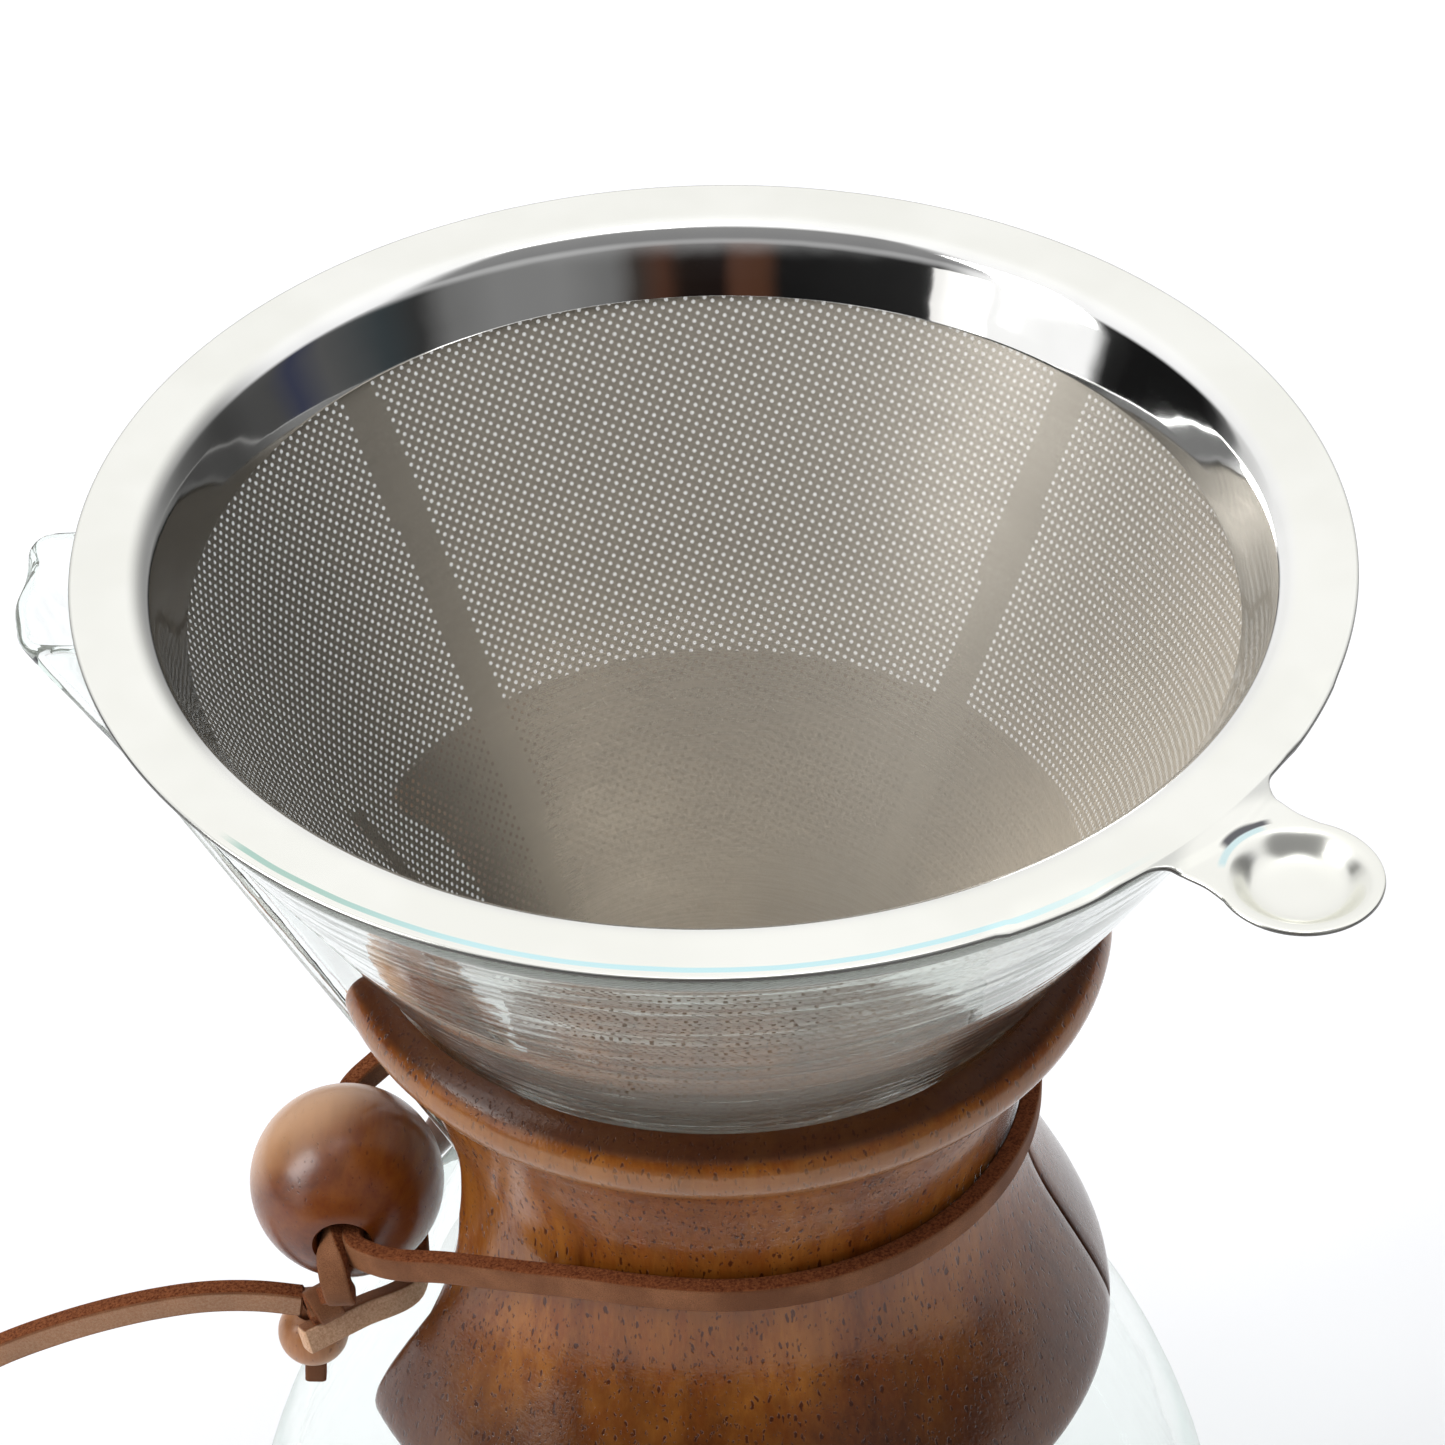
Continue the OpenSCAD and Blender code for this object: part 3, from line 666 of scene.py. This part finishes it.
def collar_piece(name, sign, node):
    """One turned half: rings of the profile from the seam, half a gap from the middle plane, to the mouth at the spout.

    The rings at both ends are drawn in, which rounds the end faces' edges."""
    prof = curve(COLLAR, 1.1, COLLAR_CORNERS)[:-1]
    nxt, prv = np.roll(prof, -1, 0), np.roll(prof, 1, 0)
    tangent = nxt - prv
    tangent /= np.linalg.norm(tangent, axis=1)[:, None]
    inward = np.stack([tangent[:, 1], -tangent[:, 0]], -1)
    if ((prof.mean(0) - prof) * inward).sum(1).mean() < 0:
        inward = -inward
    # a thin wall can be drawn in by only a share of its thickness
    gap_to = prof[None] - prof[:, None]
    dist = np.linalg.norm(gap_to, axis=2) + 1e-9
    facing = (gap_to * inward[:, None]).sum(2) / dist > 0.5
    room = np.where(facing, dist, 99).min(1)[:, None] * 0.36

    def rounding(gap, radius, steps):
        """Distance from the middle plane, and how far the profile is drawn in, over a rounded edge."""
        turns = np.radians(np.linspace(90, 0, steps))
        return [(gap + radius * (1 - math.sin(a)), radius * (1 - math.cos(a))) for a in turns]

    def drawn_in(by):
        return prof + inward * np.minimum(by, room)

    def seam_at(p, y):
        return np.arcsin(np.clip(y / p[:, 0], -1, 1))

    def mouth_at(p, y):
        """The end face leaves a gap that widens from the neck to the foot, and closes a little at the top."""
        wider = 3 * np.clip((125 - p[:, 1]) / 13, 0, 1) - smooth01((p[:, 1] - 142) / 12)
        return np.pi - seam_at(p, y + wider)

    seam = rounding(SEAM_GAP, SEAM_ROUND, 3)
    mouth = rounding(MOUTH_GAP, MOUTH_ROUND, 6)[::-1]
    rings = [(drawn_in(by), seam_at(drawn_in(by), y)) for y, by in seam]
    a0 = seam_at(prof, seam[-1][0])
    a1 = mouth_at(prof, mouth[0][0])
    rings += [(prof, a0 + (a1 - a0) * k) for k in np.linspace(0, 1, 60)[1:-1]]
    rings += [(drawn_in(by), mouth_at(drawn_in(by), y)) for y, by in mouth]
    n = len(prof)
    v = []
    for p, angle in rings:
        g = sign * angle + COLLAR_TURN
        v.append(np.stack([p[:, 0] * np.cos(g), p[:, 0] * np.sin(g), p[:, 1]], -1))
    f = grid_faces(len(rings), n)
    f += [list(range(n)), list(range((len(rings) - 1) * n, len(rings) * n))]
    piece(name, np.vstack(v), f, WOOD, "carafe_set", (node,), sharp=38, merge=0)


collar_piece("collar_half_front", -1, "collar_front")
collar_piece("collar_half_back", 1, "collar_back")


# ---------------- leather lace
def lace(name, controls, section, edge, nodes=(), step=0.8):
    """controls are rows of six numbers: a point and the direction of the lace's width there."""
    c = curve(controls, step)
    v, f, e = strip(c[:, :3], c[:, 3:] / np.linalg.norm(c[:, 3:], axis=1)[:, None], section, edge)
    return piece(name, v, f, LEATHER, "carafe_set", nodes, attribute=e, merge=0)


# the lace lies round the collar's waist over this arc
ARC_FROM, ARC_TURN, ARC_R, ARC_Z = 245.5, 251.1, 33.95, 131.0
KNOT_AT = Vector((-44.9, -16.5, 112.9))
# from the cut short end, behind the bead and through it, to the waist
TO_WAIST = [
    (-47.2, -16.7, 107.4, -0.1, 0.35, 0.93), (-41.3, -13.2, 107.9, 0, 0.3, 0.95), (-35.4, -9.7, 108.4, 0, 0.2, 1),
    (-34.8, -4.8, 109.2, 0, 0, 1), (-36.3, 1, 111.4, 0, 0.2, 1), (-38.6, 5.4, 116.0, 0, 0.8, 0.4),
    (-40.2, 5.9, 120.5, 0, 0.6, 0.7), (-40.75, 3.4, 123.3, 0, 0.1, 1), (-40.75, -2, 123.5, 0, 0, 1),
    (-40.75, -8, 123.5, 0, 0, 1), (-40.75, -14, 123.5, 0, 0, 1), (-40.6, -18.6, 123.4, 0, 0, 1),
    (-38.2, -20.6, 123.8, 0, 0, 1), (-30, -24.2, 126.0, 0, 0, 1), (-22, -27.75, 128.1, 0, 0, 1),
]
# from the waist through the bead again and down to the knot
TO_KNOT = [
    (-31.5, 16.2, 128.2, 0, 0, 1), (-38.0, 9.6, 125.4, 0, 0, 1), (-42.3, 5.2, 123.8, 0, 0, 1),
    (-43.05, 2.4, 123.5, 0, 0, 1), (-43.05, -2, 123.5, 0, 0, 1), (-43.05, -8, 123.5, 0, 0, 1),
    (-43.05, -14, 123.5, 0.1, 0, 1), (-43.05, -18, 123.4, 0.6, 0, 0.8), (-43.0, -20.1, 122.0, 1, 0, 0.2),
    (-42.7, -20.7, 119.8, 1, 0, 0), (-42.4, -20.2, 117.9, 1, 0, 0), (-42.7, -18.4, 116.6, 1, 0.2, 0),
    (-43.9, -16.6, 114.6, 1, 0.3, 0),
]
# down through the small bead
SHORT_END = [
    (-45.4, -15.9, 110.4, 1, 0, 0.4), (-46.3, -13.0, 109.6, 1, 0, 0.3), (-47, -10.6, 108.0, 1, 0, 0),
    (-47, -10, 105.4, 1, 0, 0), (-47, -10, 101.8, 1, 0, 0), (-47, -10, 98.5, 1, 0, 0), (-47.2, -10.2, 94.6, 1, 0, 0),
]


def lace_loop():
    """The lace from its cut end to the knot. Its first stretch shows the pale back, and so does the cut face."""
    waist = []
    for k in np.linspace(0, 1, 46):
        g = math.radians(ARC_FROM + ARC_TURN * k)
        dip = 1.1 * max(0, 1 - k / 0.075) ** 2
        waist.append((ARC_R * math.cos(g), ARC_R * math.sin(g), ARC_Z - dip, 0, 0, 1))
    loop = lace("lace_loop", TO_WAIST + waist + TO_KNOT, SECTION, EDGE, ("thong",))
    layer = loop.data.attributes["edge"].data
    ring_n = len(SECTION)
    pale = len(curve(TO_WAIST[:5], 0.8))
    for i in range(pale):
        for q in range(ring_n):
            layer[i * ring_n + q].value -= 1 - float(smooth01((i - pale * 0.45) / (pale * 0.4)))
    for i in range(len(layer) - 2 * (ring_n + 1), len(layer) - ring_n - 1):
        layer[i].value = -1


def lace_knot():
    """One flat wrap of the lace round itself."""
    spin = Quaternion((0, 0, 1), math.radians(24)) @ Quaternion((0, 1, 0), math.radians(76))
    width = spin @ Vector((0, 0, 1))
    rows = []
    for k in np.linspace(0, 1, 37):
        g = 2 * math.pi * k
        p = spin @ Vector((1.75 * math.cos(g), 1.35 * math.sin(g), (k - 0.5) * 0.8)) + KNOT_AT
        rows.append((*p, *width))
    lace("lace_knot", rows, *rounded_section(3.0, 1.3, 0.35), step=0.5)


lace_loop()
lace_knot()
lace("lace_short_end", SHORT_END, *rounded_section(2.4, 2.0, 0.38))


# ---------------- beads
def bead(name, centre, r, bore, axis, material, body, node, n):
    """A turned bead with a through bore along axis, its edges rounded by a fillet. The profile closes on itself."""
    fillet = 0.09 * r
    a0 = math.asin(bore / r) + fillet / r * 1.3
    end = r * math.cos(a0)
    outer = [(r * math.sin(a), r * math.cos(a)) for a in np.linspace(a0, math.pi - a0, 48)]
    lip = [(bore + fillet * 0.42, end + fillet * 0.22), (bore + fillet * 0.08, end - fillet * 0.15)]
    bore_rows = [(bore, z) for z in np.linspace(fillet - end, end - fillet, 10)]
    prof = outer + [(x, -z) for x, z in lip] + bore_rows + lip[::-1]
    v, f = lathe(prof, n)
    f += [[(len(prof) - 1) * n + k, (len(prof) - 1) * n + (k + 1) % n, (k + 1) % n, k] for k in range(n)]
    if axis == "Y":
        v = v[:, [0, 2, 1]] * np.array([1, 1, -1])
    piece(name, v + np.array(centre), f, material, body, (node,), sharp=60)


bead("bead_tie", (-41.9, -8, 123.5), 10.7, 3.0, "Y", BEAD, "bead_large", "tie_bead", 96)
bead("bead_end", (-47, -10, 101.8), 4.0, 1.7, "Z", SMALL, "bead_small", "end_bead", 56)

# ---------------- filter: stamped ring with thumb tab
FLANGE_R, TOP, SHEET = 65.0, 205.0, 0.6
FLAT_R, DISH_R = 59.5, 7.1  # where the flat face ends at the wall's turn and at the dish


def tab_outline():
    """The ring's outer edge in the tab's own frame, anticlockwise from the tab's far side."""
    fillet, neck = 3.0, 7.2
    cu, cv = math.sqrt((FLANGE_R + fillet) ** 2 - (neck + fillet) ** 2), neck + fillet
    disc = [(TAB_AT + TAB_R * math.cos(a), TAB_R * math.sin(a)) for a in np.radians(np.linspace(0, 114, 34))]
    touch = math.atan2(cv, cu)
    start, end = -90.0, math.degrees(math.atan2(-cv, -cu))
    bend = [(cu + fillet * math.cos(a), cv + fillet * math.sin(a)) for a in np.radians(np.linspace(start, end, 12))]
    neck_pts = curve([disc[-1], (69.4, 7.0), bend[0]], 0.5)
    half = disc + [tuple(p) for p in neck_pts[1:-1]] + bend
    big = [(FLANGE_R * math.cos(a), FLANGE_R * math.sin(a)) for a in np.linspace(touch, 2 * np.pi - touch, 260)[1:-1]]
    other = [(u, -w) for u, w in half[:0:-1]]
    return np.array(half + big + other)


def inset(loop, d):
    """A closed loop moved inwards by d."""
    t = np.roll(loop, -1, 0) - np.roll(loop, 1, 0)
    t /= np.linalg.norm(t, axis=1)[:, None]
    return loop + d * np.stack([-t[:, 1], t[:, 0]], -1)


def step_down(u, w):
    """The tab sits a little below the flange, behind a pressed crease."""
    r = np.hypot(u, w)
    return -0.38 * smooth01((r - 66.5 + 0.012 * w * w) / 1.1) * (u > 60)


def inside(loop, p):
    """Whether the point p is inside a closed loop."""
    x, y = p
    a, b = loop, np.roll(loop, -1, 0)
    at_x = (b[:, 0] - a[:, 0]) * (y - a[:, 1]) / (b[:, 1] - a[:, 1] + 1e-12) + a[:, 0]
    return (((a[:, 1] > y) != (b[:, 1] > y)) & (x < at_x)).sum() % 2 == 1


def unit_circle(n):
    az = np.linspace(0, 2 * np.pi, n, endpoint=False)
    return np.stack([np.cos(az), np.sin(az)], -1)


def flange_piece():
    """The stamped ring, in the tab's own frame: rolled outer edge, mirror wall, dish and the flat faces between."""
    outline = tab_outline()
    loops_v, faces, total = [], [], 0

    def add(xy, z):
        """Adds a loop of points at height z, and returns the first one's number."""
        nonlocal total
        xy = np.asarray(xy)
        zz = np.full(len(xy), z, float) + step_down(xy[:, 0], xy[:, 1])
        loops_v.append(np.c_[xy, zz])
        total += len(xy)
        return total - len(xy)

    def join(starts, n):
        for a, b in zip(starts[:-1], starts[1:]):
            faces.extend([[a + k, a + (k + 1) % n, b + (k + 1) % n, b + k] for k in range(n)])

    n_out = len(outline)
    edge = [(0.45, 0), (0.28, -0.005), (0.13, -0.05), (0.03, -0.16), (0, -0.28), (0.02, -0.42), (0.12, -0.55),
            (0.26, -0.595), (0.45, -SHEET)]
    outer = [add(inset(outline, d), TOP + dz) for d, dz in edge]
    join(outer, n_out)
    n_in = 240
    circle = unit_circle(n_in)
    wall = curve([(59.0, TOP), (58.3, 204.9), (57.7, 204.62), (57.1, 204.1), (56.6, 203.4)], 0.35)
    down = [(FLAT_R, TOP), *map(tuple, wall), (56.3, 202.9), (55.4, 201.24), (54.5, 199.57), (53.7, 198.08),
            (53.62, 197.85), (53.75, 197.72), (54.0, 197.72), (54.15, 197.9), (55.0, 199.37), (56.95, 202.7),
            (57.5, 203.5), (58.2, 204.05), (58.9, 204.36), (FLAT_R, TOP - SHEET)]
    inner = [add(circle * r, z) for r, z in down]
    join(inner, n_in)
    n_d = 64
    dish = unit_circle(n_d)
    top_dish = curve([(DISH_R, TOP), (6.75, 204.94), (6.25, 204.62), (5.65, 204.08), (5.05, 203.52), (4.4, 203.1),
                      (3.6, 202.9), (2.6, 202.82), (1.4, 202.79), (0.05, 202.78)], 0.3)
    low_dish = [(0.05, 202.28), (1.7, 202.3), (3.0, 202.36), (3.9, 202.5), (4.7, 202.8), (5.4, 203.35),
                (6.05, 203.95), (6.65, 204.32), (DISH_R, TOP - SHEET)]
    dishes = [add(dish * r + (TAB_AT, 0), z) for r, z in [*map(tuple, top_dish), *low_dish]]
    n_top = len(top_dish)
    join(dishes[:n_top], n_d)
    join(dishes[n_top:], n_d)
    faces.append([dishes[n_top - 1] + k for k in range(n_d)])
    faces.append([dishes[n_top] + k for k in range(n_d)])
    # the flat faces between the three loops, above and below, with extra points on the face and at the tab's crease
    extra = [tuple(r * p) for r in (61.2, 63.0) for p in unit_circle(200)]
    extra += [(u - 0.012 * w * w, w) for u in np.arange(64.6, 69.2, 0.22) for w in np.arange(-9.2, 9.21, 0.55)]
    bound = inset(outline, 0.9)
    extra = [p for p in extra if inside(bound, p) and math.hypot(*p) > FLAT_R + 0.3
             and math.hypot(p[0] - TAB_AT, p[1]) > DISH_R + 0.2]
    loops = [inset(outline, edge[0][0]), circle * FLAT_R, dish * DISH_R + (TAB_AT, 0)]
    pts = [Vector(p) for loop in loops for p in loop] + [Vector(p) for p in extra]
    edges, at = [], 0
    for loop in loops:
        edges += [(at + k, at + (k + 1) % len(loop)) for k in range(len(loop))]
        at += len(loop)
    vs, _, tris, *_ = delaunay_2d_cdt(pts, edges, [], 0, 1e-7)
    vs = np.array([tuple(p) for p in vs])
    bound = inset(outline, edge[0][0] - 0.001)
    keep = []
    for tri in tris:
        c = vs[list(tri)].mean(0)
        past_wall = math.hypot(*c) > FLAT_R * math.cos(math.pi / n_in)
        past_dish = math.hypot(c[0] - TAB_AT, c[1]) > DISH_R * math.cos(math.pi / n_d)
        if past_wall and past_dish and inside(bound, c):
            keep.append(list(tri))
    for z, flip in ((TOP, False), (TOP - SHEET, True)):
        base = add(vs, z)
        faces.extend([[base + i for i in (tri[::-1] if flip else tri)] for tri in keep])
    v = np.vstack(loops_v)
    c, s = math.cos(TAB_AZ), math.sin(TAB_AZ)
    v = np.c_[v[:, 0] * c - v[:, 1] * s, v[:, 0] * s + v[:, 1] * c, v[:, 2]]
    piece("filter_flange", v, faces, STAMPED, "filter", ("filter_rim",), sharp=50, merge=1e-3)


flange_piece()

# ---------------- filter: perforated cone, woven cone, base
SLOPE = 0.543  # radius over height
HALF = math.atan(SLOPE)
CONE_Z, CONE_R = 197.9, 54.75  # a height at the top and the perforated sheet's radius there
CONE_FOOT = 121.5
PITCH, HOLE, GRID_TURN = 0.95, 0.25, math.radians(-24.5)  # the holes' spacing, their radius, the grid's turn
BANDS = [math.radians(b) for b in (134.5, 43.5, -46, -136)]  # plain bands down the sheet
BAND_HALF = 2.1


def perforated_piece():
    """A sheet developed flat: cells of a square grid, each with a six-sided hole, rolled up into the cone."""
    sin, cos = math.sin(HALF), math.cos(HALF)
    z_apex = CONE_Z - CONE_R / SLOPE
    s_lo, s_hi = (CONE_FOOT - z_apex) / cos, (199.8 - z_apex) / cos
    seam = BANDS[2]
    a_lo, a_hi = (seam - math.pi / 2) * sin, (seam + 2 * math.pi - math.pi / 2) * sin
    mid = (a_lo + a_hi) / 2
    n = int(s_hi / PITCH) + 3
    i, j = np.meshgrid(np.arange(-n, n + 1), np.arange(-n, n + 1), indexing="ij")
    i, j = i.ravel(), j.ravel()
    c, s = math.cos(GRID_TURN), math.sin(GRID_TURN)

    def flat(x, y):
        return np.stack([x * c - y * s, x * s + y * c], -1) * PITCH

    def polar(p):
        return np.hypot(p[..., 0], p[..., 1]), np.arctan2(-p[..., 0], p[..., 1])

    def wrap(a):
        return (a - mid + np.pi) % (2 * np.pi) - np.pi + mid

    centre = flat(i, j)
    sc, ac = polar(centre)
    ac = wrap(ac)
    reach = PITCH * 0.75
    sc = np.maximum(sc, 1e-6)
    keep = (sc > s_lo - reach) & (sc < s_hi + reach) & (ac > a_lo - reach / sc) & (ac < a_hi + reach / sc)
    i, j, centre, sc, ac = i[keep], j[keep], centre[keep], sc[keep], ac[keep]
    open_ = (sc > s_lo + 3.2) & (sc < s_hi - 0.8) & (ac > a_lo + 1.2 / sc) & (ac < a_hi - 1.2 / sc)
    for b in BANDS:
        for turn in (0, 2 * math.pi):
            ab = (b + turn - math.pi / 2) * sin
            open_ &= ~((np.abs(sc * np.sin(ac - ab)) < BAND_HALF) & (np.abs(ac - ab) < 1))
    # the cells' shared corners, drawn back to the sheet's edges
    number, quads = {}, []
    for a, b in zip(i, j):
        around = ((a, b), (a + 1, b), (a + 1, b + 1), (a, b + 1))
        quads.append([number.setdefault(k, len(number)) for k in around])
    corner_xy = np.array(list(number), float) - 0.5
    s_, a_ = polar(flat(corner_xy[:, 0], corner_xy[:, 1]))
    s_, a_ = np.clip(s_, s_lo, s_hi), np.clip(wrap(a_), a_lo, a_hi)
    hex_a = np.radians(np.arange(0, 360, 60)) + GRID_TURN
    hx = centre[open_][:, None] + HOLE * np.stack([np.cos(hex_a), np.sin(hex_a)], -1)[None]
    hs, ha = polar(hx.reshape(-1, 2))
    ha = wrap(ha)
    s_all, a_all = np.concatenate([s_, hs]), np.concatenate([a_, ha])
    theta = math.pi / 2 + a_all / sin
    r = s_all * sin
    v = np.stack([r * np.cos(theta), r * np.sin(theta), z_apex + s_all * cos], -1)
    faces = []
    h = len(corner_xy)  # the hole's corners, at 0, 60, 120, 180, 240 and 300 degrees, follow the cells'
    for q, has_hole in zip(quads, open_):
        if has_hole:
            c0, c1, c2, c3 = q  # at 225, 315, 45 and 135 degrees from the cell's middle
            faces += [[c2, c3, h + 2, h + 1], [c3, c0, h + 4, h + 3, h + 2],
                      [c0, c1, h + 5, h + 4], [c1, c2, h + 1, h, h + 5]]
            h += 6
        else:
            faces.append(q)
    piece("filter_cone_perforated", v, faces, PERFORATED, "filter", ("filter_cone_outer",),
          sharp=0, recalc=False)


def woven_piece(inner=54.25, outer=54.47, top=200.0, n=30):
    """A thin cone just inside the perforated one. inner and outer are its faces' radii at CONE_Z."""
    def side(radius, z0, z1):
        return [(radius + SLOPE * (z - CONE_Z), z) for z in np.linspace(z0, z1, n)]

    inside_face = side(inner, top, CONE_FOOT)
    v, f = lathe(inside_face + side(outer, CONE_FOOT, top) + inside_face[:1], 180)
    piece("filter_cone_woven", v, f, MESH, "filter", ("filter_cone_mesh",))


def cup_piece():
    """The pressed bottom of the filter, from its middle out to the rim and back inside."""
    cup = curve([(0, 120.2), (9, 120.2), (12.6, 120.22), (13.6, 120.6), (14.3, 121.2), (15.0, 122.4), (15.6, 123.6),
                 (15.45, 123.75), (15.1, 123.7), (14.4, 122.4), (13.75, 121.4), (12.8, 120.8), (9, 120.78),
                 (0, 120.78)], 0.8, (2, 6, 8, 11))
    v, f = lathe(cup, 120)
    piece("filter_base_cup", v, f, CUP, "filter", ("filter_base",))


perforated_piece()
woven_piece()
cup_piece()
